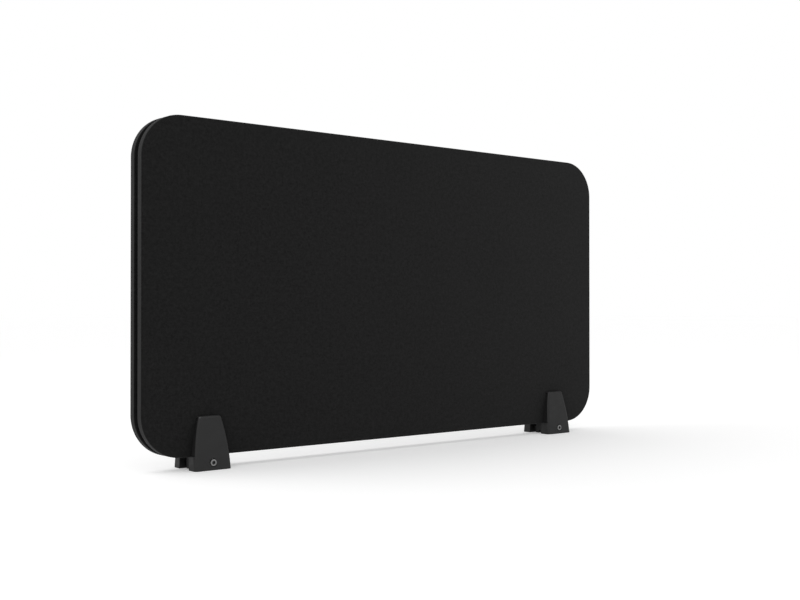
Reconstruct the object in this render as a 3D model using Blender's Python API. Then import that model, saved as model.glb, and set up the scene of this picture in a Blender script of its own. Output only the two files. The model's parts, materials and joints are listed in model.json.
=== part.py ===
"""Free-standing desk privacy panel: a fabric-wrapped twin board held by two bolted clamp feet.

Metres, +Z up, front towards -Y. The origin is the centre of the footprint, on the desk.
"""
import math

import bmesh
import bpy
from mathutils import Matrix

MM = 0.001
GAP = 0.3 * MM                    # left between pieces that touch

# Panel
PANEL_WIDTH = 1200 * MM
PANEL_HEIGHT = 625 * MM
PANEL_BOTTOM = 25 * MM            # height of the panel's lower edge over the desk
CORNER_RADIUS = 80 * MM
LEAF = 16 * MM                    # one wrapped board
GROOVE = 13 * MM                  # space between the two leaves
PANEL_DEPTH = 2 * LEAF + GROOVE
CLOTH = 0.7 * MM
CLOTH_ROUND = 2.2 * MM            # soft edge of a wrapped board
CLOTH_RETURN = 11 * MM            # fabric turned in on a board's inner face
CORE_INSET = 12.5 * MM            # core edge behind the leaves' edges

# Clamp feet
FOOT_X = 466 * MM                 # foot centres from the middle of the panel
JAW_HALF_WIDTH = 38.2 * MM
JAW_HEIGHT = 98.5 * MM
JAW_SIDE_RADIUS = 354 * MM        # the sides curve in as they rise
JAW_EDGE = 7 * MM                 # rounding of the outer upright edges
JAW_WALL = 2.8 * MM
FRONT_REACH = 22.5 * MM           # front jaw out from the panel's face, at the desk
REAR_REACH = 17.5 * MM
TOP_REACH = 8.7 * MM              # both jaws out from the panel's face, at the top
TOP_LIP = 3 * MM
SOLE = 0.5 * MM                   # jaws stand this far over the desk, on their foot pads
FRONT_LEDGE = 2.5 * MM            # front block's reach in under the panel
REAR_LEDGE = 6.5 * MM

TONGUE_HALF_WIDTH = 28.5 * MM
TONGUE_END = 28.7 * MM            # behind the panel's front face
TONGUE_SOLE = 0.8 * MM
TONGUE_NOTCH = (13 * MM, 19 * MM, 6.5 * MM)      # start, end and height of the cross groove
GUIDE_X = (17 * MM, 25 * MM)      # inner and outer side of a guide rib
GUIDE_Z = (4 * MM, 14.5 * MM)
GUIDE_END = 49 * MM
GUIDE_POCKET_END = 51 * MM
GUIDE_SLACK = 0.5 * MM

# Clamp bolt: M8 socket cap screw, small washer and hexagon nut
BOLT_HEIGHT = 14 * MM
BOLT_SHANK = 3.95 * MM
BOLT_HEAD_RADIUS = 6.5 * MM
BOLT_HEAD = 8 * MM
BOLT_LENGTH = 70 * MM
SOCKET_FLATS = 6 * MM
SOCKET_DEPTH = 4 * MM
HEAD_FACE = 21.9 * MM             # head's front, ahead of the panel's front face
COUNTERBORE = 7.6 * MM
CLEARANCE_HOLE = 4.5 * MM
WASHER_RADIUS = 7.3 * MM
WASHER_THICK = 1.6 * MM
NUT_FLATS = 13 * MM
NUT_THICK = 6.5 * MM
NUT_HOLE = 4.05 * MM
NUT_FACE = 45 * MM                # nut's inner face, behind the panel's front face
NUT_POCKET_FLATS = 13.7 * MM

# Rubber pads
PAD_INSET = 2.3 * MM
FOOT_PAD_THICK = 1.6 * MM
FOOT_PAD_HALF_WIDTH = 31 * MM
FOOT_PAD_ROUND = 4 * MM

# Dowels that join the two boards through the core
DOWEL_RADIUS = 4 * MM
DOWEL_DEPTH = 9 * MM              # into each board
DOWEL_SIDES = 16
DOWEL_X = (-480 * MM, 0.0, 480 * MM)
DOWEL_Z = (110 * MM, 515 * MM)    # over the panel's lower edge

FRONT_Y = (FRONT_REACH - REAR_REACH - PANEL_DEPTH) / 2     # the panel's front face
REAR_Y = FRONT_Y + PANEL_DEPTH
PANEL_MID_Z = PANEL_BOTTOM + PANEL_HEIGHT / 2
JAW_SEAT = PANEL_BOTTOM - GAP


# ---------------------------------------------------------------- making solids

def material(name, color, roughness, metallic=0.0):
    found = bpy.data.materials.get(name)
    if found:
        return found
    made = bpy.data.materials.new(name)
    made.use_nodes = True
    shader = made.node_tree.nodes["Principled BSDF"]
    shader.inputs["Base Color"].default_value = (*color, 1.0)
    shader.inputs["Roughness"].default_value = roughness
    shader.inputs["Metallic"].default_value = metallic
    return made


def face_out(bm, faces=None):
    bm.normal_update()
    bmesh.ops.recalc_face_normals(bm, faces=faces or bm.faces)


def loft(bm, rings):
    """Add a closed body: rings of equal length bridged in order, both ends filled."""
    rows = [[bm.verts.new(point) for point in ring] for ring in rings]
    faces = [bm.faces.new(rows[0]), bm.faces.new(rows[-1])]
    for row, following in zip(rows, rows[1:]):
        for i, vert in enumerate(row):
            j = (i + 1) % len(row)
            faces.append(bm.faces.new((vert, row[j], following[j], following[i])))
    face_out(bm, faces)


def add_box(bm, low, high):
    size = [b - a for a, b in zip(low, high)]
    centre = [(a + b) / 2 for a, b in zip(low, high)]
    matrix = Matrix.Translation(centre) @ Matrix.Diagonal((*size, 1.0))
    bmesh.ops.create_cube(bm, size=1.0, matrix=matrix)


def add_rod(bm, radius, y_start, y_end, x=0.0, z=0.0, segments=32):
    """A cylinder with flats on its top and sides, or with 6 segments a hexagon bar, along Y."""
    spin = math.pi / segments if segments > 6 else 0.0
    turn = Matrix.Rotation(math.radians(90), 4, "X") @ Matrix.Rotation(spin, 4, "Z")
    place = Matrix.Translation((x, (y_start + y_end) / 2, z))
    bmesh.ops.create_cone(bm, cap_ends=True, segments=segments, radius1=radius, radius2=radius,
                          depth=y_end - y_start, matrix=place @ turn)


def make_object(name, bm, surface, parent=None, smooth=False):
    mesh = bpy.data.meshes.new(name)
    bm.to_mesh(mesh)
    bm.free()
    if smooth:
        mesh.shade_smooth()
        mesh.set_sharp_from_angle(angle=math.radians(35))
    made = bpy.data.objects.new(name, mesh)
    bpy.context.collection.objects.link(made)
    made.parent = parent
    if surface:
        mesh.materials.append(surface)
    return made


def make_empty(name, location, parent=None):
    made = bpy.data.objects.new(name, None)
    bpy.context.collection.objects.link(made)
    made.location = location
    made.parent = parent
    return made


def boolean(target, bm, operation="DIFFERENCE"):
    """Cut or join the shape in bm, which is in the target's own axes."""
    name = f"{target.name}_{operation.lower()}_{len(target.modifiers)}"
    tool = make_object(name, bm, None, target.parent)
    tool.location = target.location
    tool.hide_render = True
    tool.display_type = "WIRE"
    modifier = target.modifiers.new(name, "BOOLEAN")
    modifier.operation = operation
    modifier.object = tool
    modifier.solver = "EXACT"


# ---------------------------------------------------------------- panel

def panel_ring(y, inset=0.0, steps=14):
    """The panel's rounded outline, pulled in by inset, in the plane at y."""
    radius = CORNER_RADIUS - inset
    half_x = PANEL_WIDTH / 2 - CORNER_RADIUS
    half_z = PANEL_HEIGHT / 2 - CORNER_RADIUS
    points = []
    for corner, (sx, sz) in enumerate(((1, 1), (-1, 1), (-1, -1), (1, -1))):
        for step in range(steps + 1):
            angle = math.radians(90 * (corner + step / steps))
            points.append((sx * half_x + radius * math.cos(angle), y,
                           PANEL_MID_Z + sz * half_z + radius * math.sin(angle)))
    return points


def dowel_holes(y_start, y_end):
    bm = bmesh.new()
    for x in DOWEL_X:
        for height in DOWEL_Z:
            add_rod(bm, DOWEL_RADIUS + GAP, y_start, y_end, x, PANEL_BOTTOM + height, DOWEL_SIDES)
    return bm


def make_board(name, outer_y, inward):
    """A fibreboard leaf. outer_y is the wrapped leaf's show face, inward is +1 or -1 along Y."""
    face = outer_y + inward * (CLOTH + GAP)
    back = outer_y + inward * (LEAF - CLOTH - GAP)
    edge = CLOTH + GAP
    soft = CLOTH_ROUND - edge
    bm = bmesh.new()
    loft(bm, [panel_ring(face, edge + soft), panel_ring(face + inward * soft, edge), panel_ring(back, edge)])
    board = make_object(name, bm, material("fibreboard", (0.23, 0.19, 0.14), 0.85))
    hole_end = back - inward * (DOWEL_DEPTH + GAP)
    mouth = back + inward * MM
    boolean(board, dowel_holes(min(hole_end, mouth), max(hole_end, mouth)))


def make_fabric(name, outer_y, inward):
    """The cloth round a leaf: face, four edges and the part turned in behind."""
    steps = 3
    rings = []
    inner_round = CLOTH_ROUND - CLOTH
    for step in range(steps + 1):
        angle = math.radians(90 * step / steps)
        inset = CLOTH + inner_round * (1 - math.sin(angle))
        depth = CLOTH + inner_round * (1 - math.cos(angle))
        rings.append(panel_ring(outer_y + inward * depth, inset))
    rings.append(panel_ring(outer_y + inward * (LEAF - CLOTH), CLOTH))
    rings.append(panel_ring(outer_y + inward * (LEAF - CLOTH), CLOTH_RETURN))
    rings.append(panel_ring(outer_y + inward * LEAF, CLOTH_RETURN))
    for step in range(steps + 1):
        angle = math.radians(90 * step / steps)
        inset = CLOTH_ROUND * (1 - math.sin(angle)) * 0.7
        depth = LEAF - CLOTH_ROUND * (1 - math.cos(angle)) * 0.7
        rings.append(panel_ring(outer_y + inward * depth, inset))
    for step in range(steps + 1):
        angle = math.radians(90 * step / steps)
        inset = CLOTH_ROUND * (1 - math.cos(angle))
        depth = CLOTH_ROUND * (1 - math.sin(angle))
        rings.append(panel_ring(outer_y + inward * depth, inset))
    bm = bmesh.new()
    loft(bm, rings)
    make_object(name, bm, material("black_fabric", (0.018, 0.018, 0.019), 0.95), smooth=True)


def make_core():
    """The spacer board between the leaves. Its dark edge is the floor of the groove."""
    front = FRONT_Y + LEAF - CLOTH
    back = REAR_Y - LEAF + CLOTH
    bm = bmesh.new()
    loft(bm, [panel_ring(front, CORE_INSET), panel_ring(back, CORE_INSET)])
    core = make_object("core_board", bm, material("black_core", (0.012, 0.012, 0.012), 0.8))
    boolean(core, dowel_holes(front - MM, back + MM))


def make_dowels():
    depth = DOWEL_DEPTH + CLOTH
    names = iter(("lower_left", "upper_left", "lower_middle", "upper_middle", "lower_right", "upper_right"))
    for x in DOWEL_X:
        for height in DOWEL_Z:
            bm = bmesh.new()
            add_rod(bm, DOWEL_RADIUS, FRONT_Y + LEAF - depth, REAR_Y - LEAF + depth, x, PANEL_BOTTOM + height,
                    DOWEL_SIDES)
            make_object(f"{next(names)}_dowel", bm, material("beech", (0.55, 0.38, 0.2), 0.6), smooth=True)


# ---------------------------------------------------------------- clamp feet

def jaw_half_width(height):
    return JAW_HALF_WIDTH - JAW_SIDE_RADIUS + math.sqrt(JAW_SIDE_RADIUS ** 2 - height ** 2)


def jaw_reach(height, reach):
    """How far a jaw stands out from the panel's face at a height over the desk."""
    return reach + (TOP_REACH - reach) * height / JAW_HEIGHT


def jaw_section(height, reach, back, inset=0.0, steps=5):
    """One level section of a jaw, y measured outwards from the panel's face.

    back is the y of its inner side; the two outer upright edges are rounded.
    """
    half = jaw_half_width(height) - inset
    outer = jaw_reach(height, reach) - inset
    edge = JAW_EDGE
    points = [(half, back, height)]
    for step in range(steps + 1):
        angle = math.radians(90 * step / steps)
        points.append((half - edge + edge * math.cos(angle), outer - edge + edge * math.sin(angle), height))
    for step in range(steps + 1):
        angle = math.radians(90 + 90 * step / steps)
        points.append((edge - half + edge * math.cos(angle), outer - edge + edge * math.sin(angle), height))
    points.append((-half, back, height))
    return points


def jaw_levels(low, high, count):
    return [low + (high - low) * i / count for i in range(count + 1)]


def rounded_plate(bm, half_x, y_low, y_high, z_low, z_high, radius, steps=5):
    """A flat plate with rounded corners, seen from above."""
    rings = []
    for z in (z_low, z_high):
        ring = []
        for corner, (x, y) in enumerate(((half_x, y_high), (-half_x, y_high), (-half_x, y_low), (half_x, y_low))):
            centre_x = x - math.copysign(radius, x)
            centre_y = y + (radius if y == y_low else -radius)
            for step in range(steps + 1):
                angle = math.radians(90 * (corner + step / steps))
                ring.append((centre_x + radius * math.cos(angle), centre_y + radius * math.sin(angle), z))
        rings.append(ring)
    loft(bm, rings)


def to_face(bm, face_y, outward):
    """Turn shapes made with y outwards from the panel's face into the object's axes."""
    for vert in bm.verts:
        vert.co.y = face_y + outward * vert.co.y
    face_out(bm)
    return bm


def make_jaw(name, parent, face_y, outward, reach, ledge):
    """A jaw's block and leaning cheek, with the recess for its grip pad."""
    bm = bmesh.new()
    levels = jaw_levels(SOLE, JAW_HEIGHT - 1.2 * MM, 6)
    rings = [jaw_section(SOLE, reach, -ledge, 0.6 * MM)]
    rings += [jaw_section(level + (0.6 * MM if level == SOLE else 0.0), reach, -ledge) for level in levels]
    rings.append([(x, y, JAW_HEIGHT) for x, y, z in jaw_section(JAW_HEIGHT, reach, -ledge, 1.2 * MM)])
    loft(bm, rings)
    jaw = make_object(name, to_face(bm, face_y, outward), material("black_nylon", (0.03, 0.03, 0.031), 0.5),
                      parent, smooth=True)
    wide = 2 * JAW_HALF_WIDTH
    bm = bmesh.new()
    add_box(bm, (-wide, -2 * ledge, JAW_SEAT), (wide, GAP, 2 * JAW_HEIGHT))
    boolean(jaw, to_face(bm, face_y, outward))
    bm = bmesh.new()
    recess = []
    for level in (JAW_SEAT + 1.5 * MM, JAW_HEIGHT - TOP_LIP):
        depth = jaw_reach(level, reach) - JAW_WALL
        recess.append([(-wide, -MM, level), (wide, -MM, level), (wide, depth, level), (-wide, depth, level)])
    loft(bm, recess)
    boolean(jaw, to_face(bm, face_y, outward))
    bm = bmesh.new()
    pad_low, pad_high = foot_pad_span(reach, ledge)
    rounded_plate(bm, FOOT_PAD_HALF_WIDTH + GAP, pad_low - GAP, pad_high + GAP, -MM, FOOT_PAD_THICK + GAP,
                  FOOT_PAD_ROUND)
    boolean(jaw, to_face(bm, face_y, outward))
    return jaw


def foot_pad_span(reach, ledge):
    """Inner and outer y of a foot pad, outwards from the panel's face."""
    return 2.5 * MM - ledge, reach - 4 * MM


def make_grip_pad(name, parent, face_y, outward, reach):
    """The rubber wedge between a leaning cheek and the panel's upright face."""
    bm = bmesh.new()
    rings = []
    for level in jaw_levels(JAW_SEAT + 1.5 * MM + GAP, JAW_HEIGHT - TOP_LIP - GAP, 8):
        half = jaw_half_width(level) - PAD_INSET
        depth = jaw_reach(level, reach) - JAW_WALL - GAP
        rings.append([(-half, GAP, level), (half, GAP, level), (half, depth, level), (-half, depth, level)])
    loft(bm, rings)
    make_object(name, to_face(bm, face_y, outward), material("black_rubber", (0.01, 0.01, 0.01), 0.85), parent)


def make_foot_pad(name, parent, face_y, outward, reach, ledge):
    bm = bmesh.new()
    low, high = foot_pad_span(reach, ledge)
    rounded_plate(bm, FOOT_PAD_HALF_WIDTH, low, high, 0.0, FOOT_PAD_THICK, FOOT_PAD_ROUND)
    make_object(name, to_face(bm, face_y, outward), material("black_rubber", (0.01, 0.01, 0.01), 0.85), parent)


def make_front_jaw(side, foot):
    jaw = make_jaw(f"{side}_front_jaw", foot, FRONT_Y, -1, FRONT_REACH, FRONT_LEDGE)
    start, end, height = TONGUE_NOTCH
    bm = bmesh.new()
    add_box(bm, (-TONGUE_HALF_WIDTH, FRONT_Y + FRONT_LEDGE - MM, TONGUE_SOLE),
            (TONGUE_HALF_WIDTH, FRONT_Y + TONGUE_END, JAW_SEAT))
    boolean(jaw, bm, "UNION")
    for sign in (-1, 1):
        bm = bmesh.new()
        add_box(bm, (sign * GUIDE_X[0], FRONT_Y + TONGUE_END - 2 * MM, GUIDE_Z[0]),
                (sign * GUIDE_X[1], FRONT_Y + GUIDE_END, GUIDE_Z[1]))
        face_out(bm)
        boolean(jaw, bm, "UNION")
    bm = bmesh.new()
    add_box(bm, (-JAW_HALF_WIDTH, FRONT_Y + start, -MM), (JAW_HALF_WIDTH, FRONT_Y + end, height))
    boolean(jaw, bm)
    bm = bmesh.new()
    add_rod(bm, CLEARANCE_HOLE, FRONT_Y - 2 * FRONT_REACH, FRONT_Y + TONGUE_END + 5 * MM, z=BOLT_HEIGHT)
    boolean(jaw, bm)
    bm = bmesh.new()
    seat = FRONT_Y - HEAD_FACE + BOLT_HEAD + WASHER_THICK + 2 * GAP
    add_rod(bm, COUNTERBORE, FRONT_Y - 2 * FRONT_REACH, seat, z=BOLT_HEIGHT, segments=36)
    boolean(jaw, bm)


def make_rear_jaw(side, foot):
    jaw = make_jaw(f"{side}_rear_jaw", foot, REAR_Y, 1, REAR_REACH, REAR_LEDGE)
    for sign in (-1, 1):
        bm = bmesh.new()
        add_box(bm, (sign * (GUIDE_X[0] - GUIDE_SLACK), FRONT_Y + TONGUE_END, GUIDE_Z[0] - GUIDE_SLACK),
                (sign * (GUIDE_X[1] + GUIDE_SLACK), FRONT_Y + GUIDE_POCKET_END, GUIDE_Z[1] + GUIDE_SLACK))
        face_out(bm)
        boolean(jaw, bm)
    bm = bmesh.new()
    add_rod(bm, CLEARANCE_HOLE, FRONT_Y + TONGUE_END, REAR_Y + 2 * REAR_REACH, z=BOLT_HEIGHT)
    boolean(jaw, bm)
    bm = bmesh.new()
    add_rod(bm, NUT_POCKET_FLATS / math.sqrt(3), FRONT_Y + NUT_FACE - GAP, REAR_Y + 2 * REAR_REACH,
            z=BOLT_HEIGHT, segments=6)
    boolean(jaw, bm)


def make_bolt(side, axis):
    """The screw, its origin on its own axis at the head's front face."""
    bm = bmesh.new()
    rings = []
    chamfer = 0.5 * MM
    profile = ((0.0, BOLT_HEAD_RADIUS - chamfer), (chamfer, BOLT_HEAD_RADIUS), (BOLT_HEAD, BOLT_HEAD_RADIUS),
               (BOLT_HEAD, BOLT_SHANK), (BOLT_HEAD + BOLT_LENGTH - MM, BOLT_SHANK),
               (BOLT_HEAD + BOLT_LENGTH, BOLT_SHANK - MM))
    segments = 36
    for y, radius in profile:
        angles = [2 * math.pi * i / segments for i in range(segments)]
        rings.append([(radius * math.cos(a), y, radius * math.sin(a)) for a in angles])
    loft(bm, rings)
    bolt = make_object(f"{side}_clamp_bolt", bm, material("zinc_steel", (0.45, 0.45, 0.46), 0.35, 1.0),
                       axis, smooth=True)
    bm = bmesh.new()
    add_rod(bm, SOCKET_FLATS / math.sqrt(3), -MM, SOCKET_DEPTH, segments=6)
    boolean(bolt, bm)


def make_washer(side, axis):
    bm = bmesh.new()
    add_rod(bm, WASHER_RADIUS, BOLT_HEAD + GAP, BOLT_HEAD + GAP + WASHER_THICK, segments=36)
    washer = make_object(f"{side}_bolt_washer", bm, material("zinc_steel", (0.45, 0.45, 0.46), 0.35, 1.0),
                         axis, smooth=True)
    bm = bmesh.new()
    add_rod(bm, BOLT_SHANK + 0.25 * MM, 0.0, 2 * BOLT_HEAD, segments=36)
    boolean(washer, bm)


def make_nut(side, axis):
    start = NUT_FACE + HEAD_FACE
    bm = bmesh.new()
    add_rod(bm, NUT_FLATS / math.sqrt(3), start, start + NUT_THICK, segments=6)
    nut = make_object(f"{side}_clamp_nut", bm, material("zinc_steel", (0.45, 0.45, 0.46), 0.35, 1.0), axis)
    bm = bmesh.new()
    add_rod(bm, NUT_HOLE, 0.0, start + 2 * NUT_THICK, segments=36)
    boolean(nut, bm)


def make_foot(side, x):
    foot = make_empty(f"{side}_foot", (x, 0.0, 0.0))
    axis = make_empty(f"{side}_bolt_axis", (0.0, FRONT_Y - HEAD_FACE, BOLT_HEIGHT), foot)
    make_front_jaw(side, foot)
    make_rear_jaw(side, foot)
    make_grip_pad(f"{side}_front_grip_pad", foot, FRONT_Y, -1, FRONT_REACH)
    make_grip_pad(f"{side}_rear_grip_pad", foot, REAR_Y, 1, REAR_REACH)
    make_foot_pad(f"{side}_front_foot_pad", foot, FRONT_Y, -1, FRONT_REACH, FRONT_LEDGE)
    make_foot_pad(f"{side}_rear_foot_pad", foot, REAR_Y, 1, REAR_REACH, REAR_LEDGE)
    make_bolt(side, axis)
    make_washer(side, axis)
    make_nut(side, axis)


def main():
    for old in list(bpy.data.objects):
        bpy.data.objects.remove(old)
    make_board("front_board", FRONT_Y, 1)
    make_board("rear_board", REAR_Y, -1)
    make_fabric("front_fabric", FRONT_Y, 1)
    make_fabric("rear_fabric", REAR_Y, -1)
    make_core()
    make_dowels()
    make_foot("left", -FOOT_X)
    make_foot("right", FOOT_X)


main()
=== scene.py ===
"""Looks of the free-standing desk privacy panel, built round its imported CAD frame.

Metres, +Z up, front towards -Y. Every piece is made in place, in the frame's own axes.
"""
import json
import math

import bmesh
import bpy
from mathutils import Matrix, Vector

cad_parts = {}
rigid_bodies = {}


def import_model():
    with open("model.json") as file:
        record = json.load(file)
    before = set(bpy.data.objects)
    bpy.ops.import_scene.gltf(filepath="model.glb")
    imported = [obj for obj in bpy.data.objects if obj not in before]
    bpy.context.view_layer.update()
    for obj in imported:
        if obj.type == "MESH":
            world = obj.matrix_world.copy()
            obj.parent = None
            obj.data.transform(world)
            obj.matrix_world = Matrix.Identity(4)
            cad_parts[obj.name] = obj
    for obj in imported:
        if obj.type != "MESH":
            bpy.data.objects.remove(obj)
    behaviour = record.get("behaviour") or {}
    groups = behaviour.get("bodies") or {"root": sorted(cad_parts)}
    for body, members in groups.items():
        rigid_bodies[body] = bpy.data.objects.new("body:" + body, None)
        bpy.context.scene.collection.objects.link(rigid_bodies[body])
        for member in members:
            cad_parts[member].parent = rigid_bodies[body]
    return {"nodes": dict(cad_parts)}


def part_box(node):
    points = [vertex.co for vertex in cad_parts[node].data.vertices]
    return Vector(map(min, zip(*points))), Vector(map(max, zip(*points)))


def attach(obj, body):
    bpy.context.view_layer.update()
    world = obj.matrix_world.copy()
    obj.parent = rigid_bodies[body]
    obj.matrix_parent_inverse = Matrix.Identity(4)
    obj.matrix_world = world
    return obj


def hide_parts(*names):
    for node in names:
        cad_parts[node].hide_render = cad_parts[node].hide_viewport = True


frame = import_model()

MM = 0.001
NOISE_LOW, NOISE_HIGH = 0.3, 0.7  # most of a noise texture's values lie between these
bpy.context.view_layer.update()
NODES = frame["nodes"]

# Panel, from the frame
FRONT_LOW, FRONT_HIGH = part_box("front_fabric")
FRONT_Y = FRONT_LOW.y
REAR_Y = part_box("rear_fabric")[1].y
LEAF = FRONT_HIGH.y - FRONT_LOW.y
PANEL_LEFT = FRONT_LOW.x
PANEL_RIGHT = FRONT_HIGH.x
PANEL_BOTTOM = FRONT_LOW.z
PANEL_TOP = FRONT_HIGH.z
GAP = 0.3 * MM

# Cloth
CORNER_RADIUS = 80 * MM
CORNER_STEPS = 30
STRAIGHT_STEP = 14 * MM           # spacing of the mesh along the straight sides
CLOTH = 0.7 * MM
CLOTH_ROUND = 2.2 * MM            # soft front edge of a wrapped board
BACK_ROUND = 1.5 * MM             # turn into the groove between the leaves
CLOTH_RETURN = 12.3 * MM          # cloth turned in between the boards, up to the core's edge
FACE_MARGIN = 2 * MM              # flat rim left inside the rounded edge, for clean shading
GATHERS = 26                      # small gathers round each corner, on the turned-in cloth
GATHER_DEPTH = 0.22 * MM
YARN_PITCH = 1.1 * MM
YARN_WANDER = 0.6 * MM            # how far a yarn strays from its straight line
SLUB_FINE, SLUB_LONG = 900.0, 60.0   # thick and thin places, per metre across and along a yarn
CLOTH_MOTTLE = (                  # unevenness of tone: scale per metre, detail, roughness, share
    (520.0, 2.0, 0.6, 0.24),
    (210.0, 2.0, 0.5, 0.3),
    (110.0, 2.0, 0.5, 0.22),
    (9.0, 3.0, 0.5, 0.05),
)

# Clamp feet
FOOT_SIDES = ("left", "right")
JAW_HALF_WIDTH = 38.2 * MM
JAW_HEIGHT = 98.5 * MM
JAW_SIDE_RADIUS = 354 * MM        # bow of a jaw's sides, which narrow towards the top
JAW_EDGE = 7 * MM                 # rounding of a jaw's outer upright edges
JAW_TOP_ROUND = 3.6 * MM
JAW_BOTTOM_ROUND = 0.3 * MM
JAW_WALL = 2.8 * MM               # thickness of the cheek over its grip pad
FRONT_REACH = 22.5 * MM           # how far each jaw stands out from its leaf, at the bottom
REAR_REACH = 17.5 * MM
TOP_REACH = 8.7 * MM              # and at the top
TOP_LIP = 1.4 * MM
RECESS_RISE = 1.5 * MM            # from a jaw's seat up to its grip pad's recess
SOLE = 0.25 * MM                  # height of a jaw's underside over the desk
FRONT_LEDGE = 2.5 * MM            # how far each jaw reaches under its leaf
REAR_LEDGE = 6.5 * MM
JAW_SEAT = PANEL_BOTTOM - GAP
TONGUE_HALF_WIDTH = 28.5 * MM
TONGUE_END = 28.7 * MM            # lengths along the tongue start at the panel's front face
TONGUE_SOLE = 0.8 * MM
TONGUE_NOTCH = (13 * MM, 19 * MM, 6.5 * MM)   # start, end and height of the notch under the tongue
GUIDE_X = (17 * MM, 25 * MM)      # guide ribs on the tongue, which slide in the rear jaw's pockets
GUIDE_Z = (4 * MM, 14.5 * MM)
GUIDE_END = 49 * MM
GUIDE_POCKET_END = 51 * MM
GUIDE_SLACK = 0.5 * MM
EDGE_ROUND = 0.45 * MM            # rounding of the jaws' moulded edges
BOLT_HEIGHT = 14 * MM
COUNTERBORE = 7.6 * MM
CLEARANCE_HOLE = 4.5 * MM
NUT_POCKET_FLATS = 13.7 * MM
PAD_INSET = 2.3 * MM
FOOT_PAD_THICK = 1.6 * MM
FOOT_PAD_HALF_WIDTH = 31 * MM
FOOT_PAD_ROUND = 4 * MM
FOOT_PAD_INNER_MARGIN = 2.5 * MM  # from the jaw's inner and outer ends to the foot pad's
FOOT_PAD_OUTER_MARGIN = 4 * MM
FOOT_PAD_PITCH = 5 * MM           # cross grooves under a foot pad
FOOT_PAD_GROOVE = 1 * MM
FOOT_PAD_GROOVE_DEPTH = 0.35 * MM
GRIP_RIBS = 16
GRIP_RIB_DEPTH = 0.25 * MM

# Clamp screw
HEAD_FACE = 21.9 * MM             # head's front, ahead of the panel's front face
HEAD_RADIUS = 6.5 * MM
HEAD_LENGTH = 8 * MM
HEAD_CHAMFER = 0.55 * MM
KNURL_DEPTH = 0.16 * MM
SHANK_RADIUS = 3.95 * MM
SHANK_LENGTH = 70 * MM
THREAD_LENGTH = 34 * MM
THREAD_PITCH = 1.25 * MM
THREAD_DEPTH = 0.65 * MM
SOCKET_FLATS = 6 * MM
SOCKET_DEPTH = 4 * MM
SOCKET_BEVEL = 0.545 * SOCKET_FLATS   # radii of the bevel round its mouth, inside and outside
SOCKET_MOUTH = 0.6 * SOCKET_FLATS
SOCKET_PAINTED_SHADE_END = 0.58 * SOCKET_FLATS   # faces whose centre is nearer the axis get the painted shade of the socket's hollow
KNURLS = 44
WASHER_RADIUS = 7.3 * MM
WASHER_HOLE = 4.2 * MM
WASHER_THICK = 1.6 * MM
NUT_FACE = 45 * MM                # nut's front, behind the panel's front face
NUT_FLATS = 13 * MM
NUT_THICK = 6.5 * MM
NUT_HOLE = 4.05 * MM

# Studio
CAMERA_PLACE = (-1.4847, -1.8195, 0.2984)
CAMERA_TILT = 90.40               # degrees; 90 looks level
CAMERA_TURN = -39.407             # degrees; 0 looks along +y
CAMERA_LENS = 49.51


# ---------------------------------------------------------------- node materials

def new_material(name, roughness, metallic=0.0, specular=0.5):
    made = bpy.data.materials.new(name)
    made.use_nodes = True
    shader = made.node_tree.nodes["Principled BSDF"]
    shader.inputs["Roughness"].default_value = roughness
    shader.inputs["Metallic"].default_value = metallic
    shader.inputs["Specular IOR Level"].default_value = specular
    return made, made.node_tree, shader


def plug(tree, socket, value):
    """Link a socket to an input, or set the input to a number, vector or colour."""
    if isinstance(value, bpy.types.NodeSocket):
        tree.links.new(value, socket)
    elif isinstance(value, tuple) and len(value) == 3 and socket.type == "RGBA":
        socket.default_value = (*value, 1.0)
    else:
        socket.default_value = value


def node(tree, kind, output=0, settings=None, **values):
    made = tree.nodes.new(kind)
    for key, value in (settings or {}).items():
        setattr(made, key, value)
    for key, value in values.items():
        plug(tree, made.inputs[key.replace("_", " ")], value)
    return made.outputs[output]


def calc(tree, operation, a, b=0.0):
    made = tree.nodes.new("ShaderNodeMath")
    made.operation = operation
    plug(tree, made.inputs[0], a)
    plug(tree, made.inputs[1], b)
    return made.outputs[0]


def noise(tree, where, scale, detail, roughness=0.55):
    return node(tree, "ShaderNodeTexNoise", Vector=where, Scale=scale, Detail=detail, Roughness=roughness)


def ramp(tree, factor, low, high, low_value, high_value):
    """Map factor from low..high to low_value..high_value, held at both ends."""
    return node(tree, "ShaderNodeMapRange", Value=factor, From_Min=low, From_Max=high, To_Min=low_value,
                To_Max=high_value)


def spread(tree, texture, low_value, high_value):
    """Map the middle of a noise texture's range to low_value..high_value."""
    return ramp(tree, texture, NOISE_LOW, NOISE_HIGH, low_value, high_value)


def mix_color(tree, factor, a, b):
    made = tree.nodes.new("ShaderNodeMix")
    made.data_type = "RGBA"
    plug(tree, made.inputs[0], factor)
    plug(tree, made.inputs[6], a)
    plug(tree, made.inputs[7], b)
    return made.outputs[2]


def bump(tree, height, distance, strength, normal=None):
    values = {"Height": height, "Distance": distance, "Strength": strength}
    if normal:
        values["Normal"] = normal
    return node(tree, "ShaderNodeBump", **values)


def object_place(tree):
    return node(tree, "ShaderNodeTexCoord", output="Object")


def vector_calc(tree, operation, a, b):
    made = tree.nodes.new("ShaderNodeVectorMath")
    made.operation = operation
    plug(tree, made.inputs[0], a)
    plug(tree, made.inputs[1], b)
    return made.outputs[0]


def stretched(tree, where, scale):
    """Coordinates multiplied per axis, for grain that runs one way."""
    return vector_calc(tree, "MULTIPLY", where, scale)


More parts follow.
